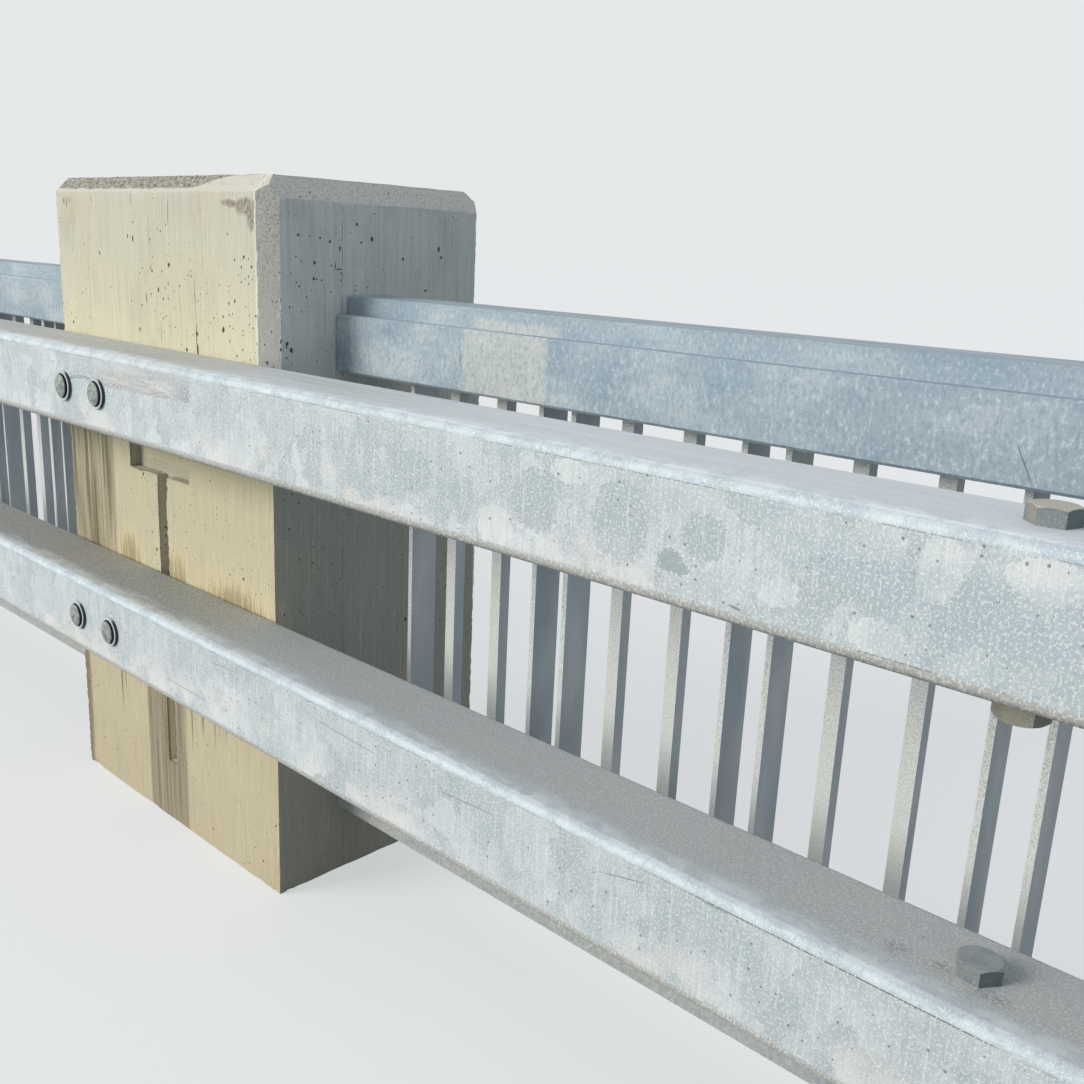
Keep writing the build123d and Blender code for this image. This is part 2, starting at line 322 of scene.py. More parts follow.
for axis, plane, marks in (
        (1, (-0.25, 0.1), [(0.155, 1.048, 0.002, 0.036, 2), (0.1575, 1.024, 0.0044, 0.016),
            (0.118, 1.021, 0.005, 0.005), (-0.09, 1.221, 0.0036, 0.005),
            (-0.07, 1.217, 0.004, 0.008), (0.021, 1.125, 0.0044, 0.007),
            (-0.21, 1.185, 0.0034, 0.006), (0, 1.159, 0.0034, 0.005),
            (-0.058, 1.045, 0.0036, 0.006), (0.317, 1.196, 0.0036, 0.005),
            (0.341, 1.181, 0.0036, 0.004), (-0.012, 0.205, 0.0026, 0.075, 1)]),
        (0, (0.394, 0.1), [(-0.206, 1.044, 0.0048, 0.006), (-0.156, 1.192, 0.0038, 0.005),
            (-0.158, 1.165, 0.0038, 0.004), (0.129, 1.223, 0.0044, 0.007),
            (0.136, 1.208, 0.004, 0.004), (0.041, 1.203, 0.0036, 0.004),
            (-0.065, 1.26, 0.0034, 0.004), (-0.055, 1.229, 0.0032, 0.003),
            (-0.102, 1.217, 0.0026, 0.007), (-0.189, 1.237, 0.0034, 0.004),
            (0.098, 1.146, 0.005, 0.003), (-0.112, 1.188, 0.0016, 0.008),
            (-0.104, 1.182, 0.01, 0.0016)]),
        (1, (-0.235, 0.03), [(0.372, 1.02, 0.026, 0.0016, 14)])):
    crack = blots(tree, here, marks, axis, plane)
    colour = coat(tree, colour, "3F3B30", 0.9, crack, 0.12, 0.45)
joint = add(tree, "Math", {"operation": "COMPARE"}, {0: across, 1: -0.097, 2: 0.0008})
joint = add(tree, "Math", {"operation": "MULTIPLY"}, {0: joint, 1: sideways})
colour = coat(tree, colour, "4E5152", 0.6, fray, 0.45, 0.55, joint)
# The cut T is grey-beige below 0.9 m and paler below 0.42 m, both lightened as painted light
# against the shade in the cut. Dirt lies over most of the front chamfer and all over the top. It
# stops a little above the chamfer's foot and rises to the right, where rain has washed it off.
depth = add(tree, "Math", {"operation": "ABSOLUTE"}, {0: across})
inside = add(tree, "MapRange", {}, {"Value": depth, "From Min": 0.2445, "From Max": 0.2395})
beside_cut = add(tree, "Math", {"operation": "ABSOLUTE"}, {0: own_along})
near_cut = add(tree, "MapRange", {}, {"Value": beside_cut, "From Min": 0.14, "From Max": 0.13})
inside = add(tree, "Math", {"operation": "MULTIPLY"}, {0: inside, 1: near_cut})
# Painted light: the inside of the cut is lightened against its shade, most below 0.42 m.
colour = coat(tree, colour, "BDB7A4", 1.0, height, 0.900, 0.895, inside)
colour = coat(tree, colour, "D2CAB4", 0.9, height, 0.42, 0.40, inside)
washed = add(tree, "MapRange", {"interpolation_type": "SMOOTHSTEP"},
             {"Value": own_along, "From Min": 0.12, "From Max": 0.27, "To Max": -0.024})
line = add(tree, "Math", {"operation": "ADD"}, {0: height, 1: washed})
line = add(tree, "Math", {"operation": "MULTIPLY_ADD"},
           {0: grain(tree, here, (22, 22, 22), 4, 0.7), 1: 0.012, 2: line})
colour = coat(tree, colour, "CFCDC0", 0.75, height, post_top - top_chamfer - 0.001,
              post_top - top_chamfer + 0.002)
dirty = add(tree, "MapRange", {}, {"Value": line, "From Min": post_top - 0.0195,
                                   "From Max": post_top - 0.0150})
pocks = add(tree, "Math", {"operation": "MULTIPLY"}, {0: crumbs, 1: add(
    tree, "MapRange", {}, {"Value": height, "From Min": post_top - 0.028,
                           "From Max": post_top - 0.020})})
colour = coat(tree, colour, "5E5A4E", 0.75, pocks, 0.60, 0.66)
colour = coat(tree, colour, "949083", 0.90, dirty, 0.0, 1.0)
colour = coat(tree, colour, "45423A", 0.85, crumbs, 0.52, 0.60, dirty)
colour = coat(tree, colour, "D8D5C9", 0.75, crumbs, 0.45, 0.38, dirty)
# The corner chamfer is greyer, and worn through to dark grit near the top. The chamfer of the end
# is whiter, and so is the thin rim along the corner. The thin strip along the back edge is painted
# near white, a painted highlight that reads bright in the side's shade.
slanted = add(tree, "Math", {"operation": "COMPARE"}, {0: sideways, 1: 0.47, 2: 0.12})
colour = coat(tree, colour, "B1B3AD", 0.88, slanted, 0.0, 1.0)
worn = add(tree, "MapRange", {}, {"Value": height, "From Min": 1.08, "From Max": 1.22,
                                  "To Min": 0.25})
worn = add(tree, "Math", {"operation": "MULTIPLY"}, {0: slanted, 1: worn})
flecks = grain(tree, here, (420, 420, 260), 4, 0.75, 5.0)
colour = coat(tree, colour, "686962", 0.80, flecks, 0.51, 0.62, worn)
slanted = add(tree, "Math", {"operation": "COMPARE"}, {0: sideways, 1: 0.79, 2: 0.12})
colour = coat(tree, colour, "E3E3DB", 0.80, slanted, 0.0, 1.0)
colour = coat(tree, colour, "80827B", 0.45, grit, 0.50, 0.60, slanted)
rim = blots(tree, on_post, [(0.3535, 1.165, 0.003, 0.4)], plane=(-0.2475, 0.003), boxes=True)
colour = coat(tree, colour, "ECE9DC", 0.75, rim, 0.30, 0.60)
# Painted highlight: the strip along the back edge is painted near white.
back_rim_highlight = blots(tree, on_post, [(0.394, 0.68, 0.012, 0.28)], plane=(0.2475, 0.006))
colour = coat(tree, colour, "F4F4F0", 0.85, back_rim_highlight, 0.10, 0.45)
# Sand shows through the skin as a fine speckle.
sand = grain(tree, here, (460, 460, 460), 3, 0.7)
colour = coat(tree, colour, "8C8878", 0.34, sand, 0.54, 0.70)
colour = coat(tree, colour, "EBE7DA", 0.34, sand, 0.44, 0.30)
# Bubble holes 2 to 6 mm wide, in loose swarms, read on each face as a flat sheet so that all
# are cut through. The larger are few, and all are a little taller than wide.
unrolled = add(tree, "CombineXYZ", inputs={
    0: add(tree, "Math", {"operation": "ADD"}, {0: along, 1: across}),
    1: add(tree, "Math", {"operation": "MULTIPLY"}, {0: height, 1: 0.75})})
uneven = add(tree, "Math", {"operation": "MULTIPLY_ADD"},
             {0: grain(tree, here, (420, 420, 420), 2), 1: 0.16, 2: -0.08})
swarm = add(tree, "Math", {"operation": "MAXIMUM"}, {
    0: blots(tree, here, [(0.33, 1.12, 0.14, 0.2)], plane=(-0.25, 0.2)),
    1: blots(tree, here, [(0.13, 0.7, 0.17, 0.3)], 0, (0.394, 0.2))})
swarm = add(tree, "Math", {"operation": "MULTIPLY_ADD"}, {
    0: swarm, 1: 0.25,
    2: grain(tree, here, (6, 6, 5), 3, 0.6, 6.0)})
holes = None
for scale, fewest, most in ((22.0, 0.66, 0.095), (48.0, 0.62, 0.105), (95.0, 0.66, 0.150)):
    bubbles = add(tree, "TexVoronoi", {"voronoi_dimensions": "2D"},
                  {"Vector": unrolled, "Scale": scale, "Randomness": 1.0})
    size = add(tree, "SeparateColor", inputs={0: bubbles.outputs["Color"]})
    size = add(tree, "Math", {"operation": "MULTIPLY_ADD"}, {0: swarm, 1: 0.5, 2: size})
    radius = add(tree, "MapRange", {}, {"Value": size, "From Min": fewest + 0.25,
                                        "From Max": 1.30, "To Min": -0.1, "To Max": most})
    radius = add(tree, "Math", {"operation": "ADD"}, {0: radius, 1: uneven})
    hole = add(tree, "Math", {"operation": "SUBTRACT"},
               {0: radius, 1: bubbles.outputs["Distance"]})
    holes = hole if holes is None else add(tree, "Math", {"operation": "MAXIMUM"},
                                           {0: holes, 1: hole})
colour = coat(tree, colour, "38352C", 0.92, holes, 0.0, 0.02)
open_hole = add(tree, "MapRange", {}, {"Value": holes, "From Max": 0.02})
relief = add(tree, "Math", {"operation": "MULTIPLY_ADD"}, {0: open_hole, 1: -4.0, 2: crumbs})
relief = add(tree, "Math", {"operation": "MULTIPLY_ADD"}, {0: sand, 1: 0.6, 2: relief})
relief = add(tree, "Math", {"operation": "MULTIPLY_ADD"}, {0: streak, 1: 0.5, 2: relief})
end_finish(tree, colour, relief, 0.45, 0.0012, {"Roughness": 0.93, "Specular IOR Level": 0.25})


def crumble(bm):
    """Wears a cast block: small ragged losses along its outer edges, and a rough skin."""
    bm.normal_update()
    edges = [e for e in bm.edges if len(e.link_faces) == 2
             and e.calc_face_angle_signed(0.0) > 0.3]
    rims = {v for e in edges for v in e.verts}
    tree = KDTree(len(rims))
    for i, v in enumerate(rims):
        tree.insert(v.co, i)
    tree.balance()
    moves = []
    for v in bm.verts:
        near = 1 - min(tree.find(v.co)[2] / edge_reach, 1)
        rough = noise.noise(v.co * 150) * 0.0003
        loss = 0.0
        if near > 0:
            broad = noise.noise(v.co * 14 + Vector((7, 1, 3)))
            small = noise.noise(v.co * 55)
            grit = noise.noise(v.co * 160 + Vector((0, 5, 0)))
            loss = max(0.0, 0.0005 + 0.0005 * broad + 0.0014 * small + 0.0024 * grit)
            loss += 0.006 * max(0.0, broad + 0.6 * small - 0.50)
            loss *= near ** 1.2
        moves.append((v, v.normal * (rough - loss)))
    for v, move in moves:
        v.co += move
        v.co.z = max(v.co.z, 0.0)


def cut_across(bm, axis, places):
    """Cuts the whole mesh square to an axis at each place, which leaves new edges there."""
    for place in places:
        point = [0.0, 0.0, 0.0]
        point[axis] = place
        normal = [float(i == axis) for i in range(3)]
        bmesh.ops.bisect_plane(bm, geom=bm.verts[:] + bm.edges[:] + bm.faces[:], dist=1e-5,
                               plane_co=point, plane_no=normal)


bm = bmesh.new()
bm.from_mesh(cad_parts["post_3"].data)
bmesh.ops.remove_doubles(bm, verts=bm.verts, dist=1e-5)
bmesh.ops.dissolve_limit(bm, angle_limit=0.01, verts=bm.verts, edges=bm.edges)
near_edge = [fine_step * (i + 0.5) for i in range(11)]
for axis, half, coarse in ((0, post_half_width, 0.03), (1, -post_front, 0.03)):
    inner = half - near_edge[-1] - coarse * 0.7
    count = int(inner / coarse)
    cut_across(bm, axis, [inner * i / count for i in range(-count, count + 1)]
               + [s * (half - d) for s in (-1, 1) for d in near_edge])
cut_across(bm, 2, [post_top - d for d in near_edge] + [0.005 + 0.0065 * i for i in range(199)])
block = bpy.data.meshes.new("cast_block")
bm.to_mesh(block)
bm.free()

for number in range(1, 6):
    bm = bmesh.new()
    bm.from_mesh(block)
    shift = Vector(((number - 3) * bay_pitch, 0, 0))
    bmesh.ops.translate(bm, verts=bm.verts, vec=shift)
    crumble(bm)
    post = place_piece(bm, f"weathered_post_{number}", concrete, 24)
    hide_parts(f"post_{number}")
    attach(post, "root")


# Traffic tubes
# Square steel tubes, cold-formed with rounded corners and dipped in molten zinc. The zinc
# has weathered to a chalky grey with whiter flakes and drips, and bolts have scraped it.
row_heights = (0.942, 0.4848)
row_gap = row_heights[0] - row_heights[1]
tube_side = 0.1524
tube_corner = 0.0127
tube_wall = 0.00635
tube_centre_y = -0.3237
tube_front = tube_centre_y - tube_side / 2

# Weathered hot-dip zinc: a dull pale coat with a weak metallic sheen under it.
tube_zinc, tree, here, (along, across, height), facing = new_finish("weathered_zinc_on_tube")
own_height = add(tree, "Math", {"operation": "WRAP"}, {
    0: height, 1: row_heights[1] + row_gap / 2, 2: row_heights[1] - row_gap / 2})
own_height = add(tree, "Math", {"operation": "SUBTRACT"}, {0: own_height, 1: row_heights[1]})
# Zinc flakes 40 to 70 mm wide in three tones, with crisp, finely frayed edges, and smaller
# ones 20 to 30 mm wide over them. Neighbours of one tone run together.
edge = grain(tree, here, (130, 130, 90), 3, 0.75)
sway = add(tree, "TexNoise", {}, {"Vector": here, "Scale": 20.0, "Detail": 3.0, "Roughness": 0.62})
swayed = add(tree, "VectorMath", {"operation": "MULTIPLY_ADD"},
             {0: sway.outputs["Color"], 1: (0.055, 0.055, 0.075), 2: here})
cloud = grain(tree, here, (6, 6, 8), 3, 0.6)
flakes = add(tree, "TexVoronoi", {}, {
    "Vector": add(tree, "VectorMath", {"operation": "MULTIPLY"},
                  {0: swayed, 1: (19, 19, 15)}),
    "Scale": 1.0})
flake = add(tree, "SeparateColor", inputs={0: flakes.outputs["Color"]})
mixed = add(tree, "Math", {"operation": "MULTIPLY_ADD"}, {0: flake, 1: 0.45, 2: cloud})
colour = add(tree, "ValToRGB", {"stops": [(0.58, "ACB6B9"), (0.62, "B8C1C3"), (0.76, "B8C1C3"),
                                          (0.80, "C8CECF")]}, {0: mixed})
bits = add(tree, "TexVoronoi", {}, {
    "Vector": add(tree, "VectorMath", {"operation": "MULTIPLY_ADD"},
                  {0: swayed, 1: (44, 44, 34), 2: (3.0, 1.0, 2.0)}), "Scale": 1.0})
bit = add(tree, "SeparateColor", inputs={0: bits.outputs["Color"]})
colour = coat(tree, colour, "D3D9D9", 0.42, bit, 0.80, 0.83)
colour = coat(tree, colour, "B1BCBF", 0.38, bit.outputs[1], 0.82, 0.85)
soft = grain(tree, swayed, (16, 16, 9), 3, 0.6, 5.0)
colour = coat(tree, colour, "D5DADB", 0.42, soft, 0.54, 0.62)
colour = coat(tree, colour, "ABB7BC", 0.38, soft, 0.46, 0.38)
# The largest flakes of the tube in view: grey ones, then whiter ones.
for tint, marks in (
        ("A6B1B5", [(1.164, 0.947, 0.046, 0.046), (0.95, 0.945, 0.04, 0.036),
            (1.55, 0.942, 0.03, 0.034), (1.293, 0.945, 0.05, 0.058), (1.407, 0.952, 0.034, 0.032),
            (1.606, 0.952, 0.038, 0.036), (1.68, 0.944, 0.034, 0.04)]),
        ("D3D8D7", [(1.1, 0.905, 0.04, 0.034), (1.217, 0.99, 0.036, 0.018),
            (1.656, 0.976, 0.024, 0.04), (1.594, 0.988, 0.036, 0.024),
            (1.747, 0.985, 0.044, 0.024), (1.608, 0.896, 0.04, 0.024)])):
    large = add(tree, "Math", {"operation": "MULTIPLY_ADD"},
                {0: edge, 1: 0.9, 2: blots(tree, here, marks, plane=(-0.4, 0.1))})
    colour = coat(tree, colour, tint, 0.85, large, 0.62, 0.67)
above_foot = add(tree, "MapRange", {}, {"Value": own_height, "From Min": -0.045,
                                        "From Max": -0.010})
colour = coat(tree, colour, "A0ADB3", 0.36, cloud, 0.30, 0.55, above_foot)
# Thin runs down the face and a fine crystal grain.
runs = grain(tree, here, (210, 210, 11), 3, 0.65)
colour = coat(tree, colour, "98A6AB", 0.30, runs, 0.50, 0.68)
colour = coat(tree, colour, "EEF0EF", 0.30, runs, 0.46, 0.32)
crystals = grain(tree, here, (330, 330, 260), 2, 0.75)
colour = coat(tree, colour, "93A2A6", 0.18, crystals, 0.52, 0.68)
colour = coat(tree, colour, "F0F2F1", 0.10, crystals, 0.46, 0.32)
# Clouds of dark pits that grow thicker to the right on the upper tube, and single deep pits.
thick = blots(tree, here, [(1.95, 0.935, 0.85, 0.13)], plane=(-0.4, 0.3))
clouds = add(tree, "Math", {"operation": "MULTIPLY_ADD"},
             {0: thick, 1: 0.22, 2: grain(tree, here, (6, 6, 9), 3, 0.65, 2.0)})
clouds = add(tree, "MapRange", {"interpolation_type": "SMOOTHSTEP"},
             {"Value": clouds, "From Min": 0.54, "From Max": 0.72})
pits = grain(tree, here, (300, 300, 300), 2, 0.75)
colour = coat(tree, colour, "AAB7BD", 0.50, clouds, 0.0, 1.0)
colour = coat(tree, colour, "7F8E94", 0.26, pits, 0.54, 0.64, clouds)
low_down = add(tree, "MapRange", {}, {"Value": own_height, "From Min": 0.01, "From Max": -0.05})
colour = coat(tree, colour, "DCD9D2", 0.50, grain(tree, swayed, (5, 5, 8), 3, 0.6, 4.0),
              0.52, 0.60, low_down)
unrolled = add(tree, "CombineXYZ", inputs={0: along, 1: add(
    tree, "Math", {"operation": "ADD"}, {0: across, 1: height})})
dots = add(tree, "TexVoronoi", {"voronoi_dimensions": "2D"}, {"Vector": unrolled, "Scale": 55.0})
dot = add(tree, "SeparateColor", inputs={0: dots.outputs["Color"]})
dot = add(tree, "MapRange", {}, {"Value": dot, "From Min": 0.48, "To Max": 0.12})
dot = add(tree, "Math", {"operation": "SUBTRACT"}, {0: dot, 1: dots.outputs["Distance"]})
colour = coat(tree, colour, "5E6A6C", 0.75, dot, 0.0, 0.03)
# The bend at the top is paler and bluer in blotches, partly scouring and partly a painted sheen on
# the rounded corner, with a thin dark crease where the flat face starts.
blotch = grain(tree, swayed, (26, 40, 40), 3, 0.6, 7.0)
# Painted sheen: the bend's colours are paler and bluer than the face's.
pale_bend_and_sheen = coat(tree, linear("ACBAC2"), "C0CBD0", 1.0, blotch, 0.40, 0.58)
pale_bend_and_sheen = coat(tree, pale_bend_and_sheen, "D2DBDE", 0.45, blotch, 0.60, 0.66)
pale_bend_and_sheen = coat(tree, pale_bend_and_sheen, "93A4AF", 0.35, crystals, 0.50, 0.64)
pale_bend_and_sheen = coat(tree, pale_bend_and_sheen, "D8E1E4", 0.35, crystals, 0.48, 0.36)
colour = coat(tree, colour, pale_bend_and_sheen, 1.0, own_height, 0.0622, 0.0640)
crease = add(tree, "Math", {"operation": "COMPARE"}, {0: own_height, 1: 0.0628, 2: 0.00060})
colour = coat(tree, colour, "6F7675", 0.55, grain(tree, here, (11, 11, 11)), 0.42, 0.54, crease)
colour = coat(tree, colour, "34393B", 0.85, blots(tree, here, [
    (1.6, 0.5476, 0.2, 0.02)], plane=(-0.4, 0.1)), 0.08, 0.25, crease)
low_crease = add(tree, "Math", {"operation": "COMPARE"}, {0: own_height, 1: -0.0622, 2: 0.0009})
colour = coat(tree, colour, "3F4342", 0.80, blots(tree, here, [
    (1.625, 0.8765, 0.05, 0.02)], plane=(-0.4, 0.1)), 0.08, 0.3, low_crease)
# The flat top is duller, with faint streaks rubbed along it and settled dust. On the lower tube it
# is warmer and darker, less so towards the right: dust, and painted shade from the upper tube.
smears = grain(tree, here, (2.6, 52, 52), 3, 0.6)
flat = add(tree, "ValToRGB", {"stops": [(0.32, "B4BBBE"), (0.48, "BFC5C8"), (0.60, "C9CED0"),
                                        (0.72, "D8DCDE")]}, {0: smears})
flat = coat(tree, flat, "C9C5C2", 0.40, grain(tree, here, (5, 9, 9), 3, 0.65), 0.47, 0.62)
flat = coat(tree, flat, "A8A8A0", 0.70, along, 0.55, 0.20)
flat = coat(tree, flat, "E4E9EC", 0.50, along, 0.60, 1.20)
flat = coat(tree, flat, "E3E8EA", 0.55, grain(tree, here, (10, 260, 260), 2), 0.62, 0.72)
flat = coat(tree, flat, "949DA3", 0.18, crystals, 0.52, 0.70)
# The lower tube's top: warm dust, and painted shade from the upper tube.
dusty_and_shaded_top = coat(tree, linear("8B9088"), "959188", 1.0,
                 grain(tree, here, (2.2, 5, 5), 3, 0.6, 3.0), 0.42, 0.60)
dusty_and_shaded_top = coat(tree, dusty_and_shaded_top, "81898C", 0.5, grain(tree, here, (26, 26, 26), 3, 0.65),
                 0.48, 0.64)
dusty_and_shaded_top = coat(tree, dusty_and_shaded_top, "BFC4C3", 0.72, along, 0.18, 0.62)
flat = coat(tree, flat, dusty_and_shaded_top, 0.80, height, 0.72, 0.70)
# Towards the front the top's edge is painted as bright as the bend beside it, partly rubbed and
# partly painted sheen.
forward = add(tree, "Math", {"operation": "SUBTRACT"}, {0: tube_centre_y, 1: across})
rubbed = add(tree, "Math", {"operation": "MULTIPLY_ADD"},
             {0: grain(tree, here, (12, 45, 45), 3), 1: 0.05, 2: forward})
# Painted sheen: the top's front edge takes the bend's pale colours.
bright_edge_and_sheen = coat(tree, linear("C9D3D9"), "E4EBEE", 1.0, blotch, 0.38, 0.58)
flat = coat(tree, flat, bright_edge_and_sheen, 0.85, rubbed, 0.052, 0.092)
for top, marks in (
        (0.56, [(-0.103, -0.365, 0.05, 0.0012, 73), (0.52, -0.28, 0.022, 0.0008, 85),
            (0.786, -0.335, 0.022, 0.0008, 88)]),
        (1.02, [(0.557, -0.285, 0.014, 0.0008, 60), (0.83, -0.317, 0.016, 0.0008, 12),
            (0.028, -0.388, 0.024, 0.0032, 133)])):
    scratches = blots(tree, here, marks, 2, (top, 0.1))
    flat = coat(tree, flat, "70757A", 0.7, scratches, 0.1, 0.6)
smuts = blots(tree, here, [(1.642, -0.343, 0.018, 0.016), (1.688, -0.341, 0.018, 0.014),
    (1.742, -0.35, 0.03, 0.012), (1.652, -0.306, 0.006, 0.005)], 2, (0.56, 0.1))
flat = coat(tree, flat, "737C7E", 0.75, pits, 0.44, 0.56, smuts)
colour = coat(tree, colour, flat, 1.0, facing[2], 0.80, 0.985)
# The bottom bend is painted a warm grey that darkens towards the underside: painted shade.
colour = coat(tree, colour, "ABABA5", 0.92, own_height, -0.0590, -0.0640)
colour = coat(tree, colour, "7D7E79", 0.65, own_height, -0.0680, -0.0740)
# Marks of its own on the tubes in view: a band beside the bolts that something has rubbed
# bare, with a blunt end to the right, a scratch curling over the bolts, a spot of bare flux,
# and hairlines along the lower tube.
rubs = grain(tree, here, (12, 12, 160), 3, 0.65)
fade = add(tree, "MapRange", {}, {"Value": height, "From Min": 1.006,
                                  "From Max": 0.978, "To Min": 0.30})
fade = add(tree, "MapRange", {}, {"Value": along, "From Min": -0.02, "From Max": 0.12,
                                  "To Max": fade})
scrape = blots(tree, here, [(0.19, 0.987, 0.235, 0.031, -1.2)], plane=(-0.4, 0.2), boxes=True)
ragged = grain(tree, here, (60, 60, 60), 4, 0.7, 2.0)
scrape = add(tree, "Math", {"operation": "MULTIPLY_ADD"}, {0: ragged, 1: 0.36, 2: scrape})
bare = coat(tree, linear("A9AAA8"), "BFBEBA", 1.0, rubs, 0.42, 0.62)
bare = coat(tree, bare, "DDDFDE", 0.5, rubs, 0.62, 0.70)
bare = coat(tree, bare, "A2ACB1", 0.90, along, 0.325, 0.370)
bare = coat(tree, bare, "74828A", 0.90, along, 0.335, 0.385, pits)
bare = coat(tree, bare, "9DA3A5", 0.80, height, 0.972, 0.960)
colour = coat(tree, colour, bare, 0.90, scrape, 0.27, 0.35, fade)
arc = blots(tree, here, [(-0.036, 0.96, 0.026, 0.005, -12), (-0.006, 0.965, 0.03, 0.005, -6),
    (0.03, 0.9655, 0.03, 0.005, 6)], plane=(-0.4, 0.03))
arc = add(tree, "Math", {"operation": "MULTIPLY_ADD"}, {0: edge, 1: 0.4, 2: arc})
colour = coat(tree, colour, "8B9294", 0.80, arc, 0.36, 0.56)
spot = blots(tree, here, [(1.364, 0.918, 0.023, 0.019, -14),
    (1.378, 0.912, 0.016, 0.012)], plane=(-0.4, 0.03))
spot = add(tree, "Math", {"operation": "MULTIPLY_ADD"}, {0: crystals, 1: 1.6, 2: spot})
colour = coat(tree, colour, "E9ECEB", 0.60, spot, 0.86, 0.94)
colour = coat(tree, colour, "98A4A8", 0.85, spot, 1.02, 1.10)
colour = coat(tree, colour, "7C898D", 0.60, pits, 0.50, 0.60, blots(tree, here, [
    (1.362, 0.918, 0.03, 0.02, 14)], plane=(-0.4, 0.03)))
colour = coat(tree, colour, "6E797B", 0.80, blots(tree, here, [
    (1.45, 0.887, 0.012, 0.0024, 8)], plane=(-0.4, 0.03)), 0.1, 0.6)
hairlines = blots(tree, here, [(0.342, 0.4515, 0.105, 0.0009, 0.8),
    (0.461, 0.53, 0.048, 0.0008, -3.6), (0.805, 0.5195, 0.105, 0.0009, 2.5),
    (1.059, 0.515, 0.075, 0.0009, -3.1), (1.333, 0.5245, 0.05, 0.0009, -12.7),
    (1.458, 0.5455, 0.03, 0.0008, 1)], plane=(-0.4, 0.03))
colour = coat(tree, colour, "69757A", 0.75, hairlines, 0.05, 0.5)
relief = add(tree, "Math", {"operation": "MULTIPLY_ADD"}, {0: runs, 1: 0.6, 2: crystals})
end_finish(tree, colour, relief, 0.22, 0.0008, {"Metallic": 0.2, "Roughness": 0.7})

for row in ("upper", "lower"):
    for number in (1, 2, 3):
        low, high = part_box(f"{row}_tube_{number}")
        bm = bmesh.new()
        bmesh.ops.create_cube(bm, size=1.0, matrix=Matrix.LocRotScale(
            (low + high) / 2, None, high - low))
        ends = [f for f in bm.faces if abs(f.normal.x) > 0.9]
        bmesh.ops.delete(bm, geom=ends, context="FACES")
        bmesh.ops.bevel(bm, geom=[e for e in bm.edges if not e.is_boundary],
                        offset=tube_corner, affect="EDGES", segments=6, profile=0.5, material=-1)
        bmesh.ops.solidify(bm, geom=bm.faces[:], thickness=tube_wall)
        bmesh.ops.recalc_face_normals(bm, faces=bm.faces)
        tube = place_piece(bm, f"{row}_tube_{number}_coated", tube_zinc, 40)
        even = tube.modifiers.new("even_shading", "WEIGHTED_NORMAL")
        even.keep_sharp = True
        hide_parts(f"{row}_tube_{number}")
        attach(tube, "root")


# Rails and caps
# Rectangular steel tubes with sharp corners, also dipped in zinc, one pair in each bay, and
# a flatter cap on the upper one. Their zinc is younger and bluer, with a tight mottle.
rail_zinc, tree, here, (along, across, height), facing = new_finish("mottled_zinc_on_rail")
clouds = grain(tree, here, (6, 6, 10), 3, 0.6)
colour = add(tree, "ValToRGB", {"stops": [(0.30, "879AA6"), (0.45, "97A7B0"), (0.56, "A3B1B8"),
                                          (0.70, "B5BEC2")]}, {0: clouds})
# Two warmer pieces: the part of the first rail on the right that was dipped first, with a
# hard edge, and the bottom rails, which most dust reaches.
warm = blots(tree, here, [(0.816, 1.062, 0.098, 0.062)], plane=(-0.11, 0.25), boxes=True)
warm = add(tree, "Math", {"operation": "MULTIPLY_ADD"},
           {0: grain(tree, here, (22, 22, 22), 3), 1: 0.14, 2: warm})
colour = coat(tree, colour, "BEC0BA", 0.75, warm, 0.06, 0.22)
colour = coat(tree, colour, "B0ADA4", 0.75, height, 0.32, 0.28)
colour = coat(tree, colour, "8797A3", 0.40, along, 1.2, 1.6)
mottle = grain(tree, here, (210, 210, 120), 3, 0.7)
colour = coat(tree, colour, "768A98", 0.50, mottle, 0.50, 0.66)
colour = coat(tree, colour, "C9D3D8", 0.50, mottle, 0.46, 0.32)
rubs = grain(tree, here, (9, 9, 160), 3)
colour = coat(tree, colour, "8C9CA6", 0.30, rubs, 0.54, 0.70)
specks = grain(tree, here, (420, 420, 420), 2, 0.7)
colour = coat(tree, colour, "5F6E7A", 0.55, specks, 0.62, 0.70, clouds)
hairlines = blots(tree, here, [(1.6135, 1.0305, 0.032, 0.0012, 62),
    (0.7195, 1.0645, 0.04, 0.001, 85)], plane=(-0.12, 0.3))
colour = coat(tree, colour, "4E5A62", 0.7, hairlines, 0.05, 0.5)
flat = add(tree, "ValToRGB", {"stops": [(0.30, "8B9BA6"), (0.50, "9BA8B1"), (0.70, "B1BBC1")]},
           {0: grain(tree, here, (5, 60, 60), 4, 0.6)})
colour = coat(tree, colour, flat, 1.0, facing[2], 0.80, 0.985)
relief = add(tree, "Math", {"operation": "MULTIPLY_ADD"}, {0: clouds, 1: 2.0, 2: mottle})
end_finish(tree, colour, relief, 0.3, 0.0006, {"Metallic": 0.2, "Roughness": 0.68})

for bay in range(1, 5):
    for name in (f"top_rail_{bay}", f"rail_cap_{bay}", f"bottom_rail_{bay}"):
        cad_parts[name].data.materials.clear()
        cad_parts[name].data.materials.append(rail_zinc)


# Balusters and rail anchors
# Solid flat and square steel bars welded between the rails and dipped with them, so their
# zinc is speckled. Short boxes bolted to the posts hold the rails' ends, out of sight.
bar_zinc, tree, here, (along, across, height), facing = new_finish("speckled_zinc_on_bar")
clouds = grain(tree, here, (12, 12, 5), 3)
colour = add(tree, "ValToRGB", {"stops": [(0.32, "A3AFB5"), (0.50, "B1BABE"), (0.70, "C1C8CB")]},
             {0: clouds})
speckle = grain(tree, here, (620, 620, 420), 3, 0.75)
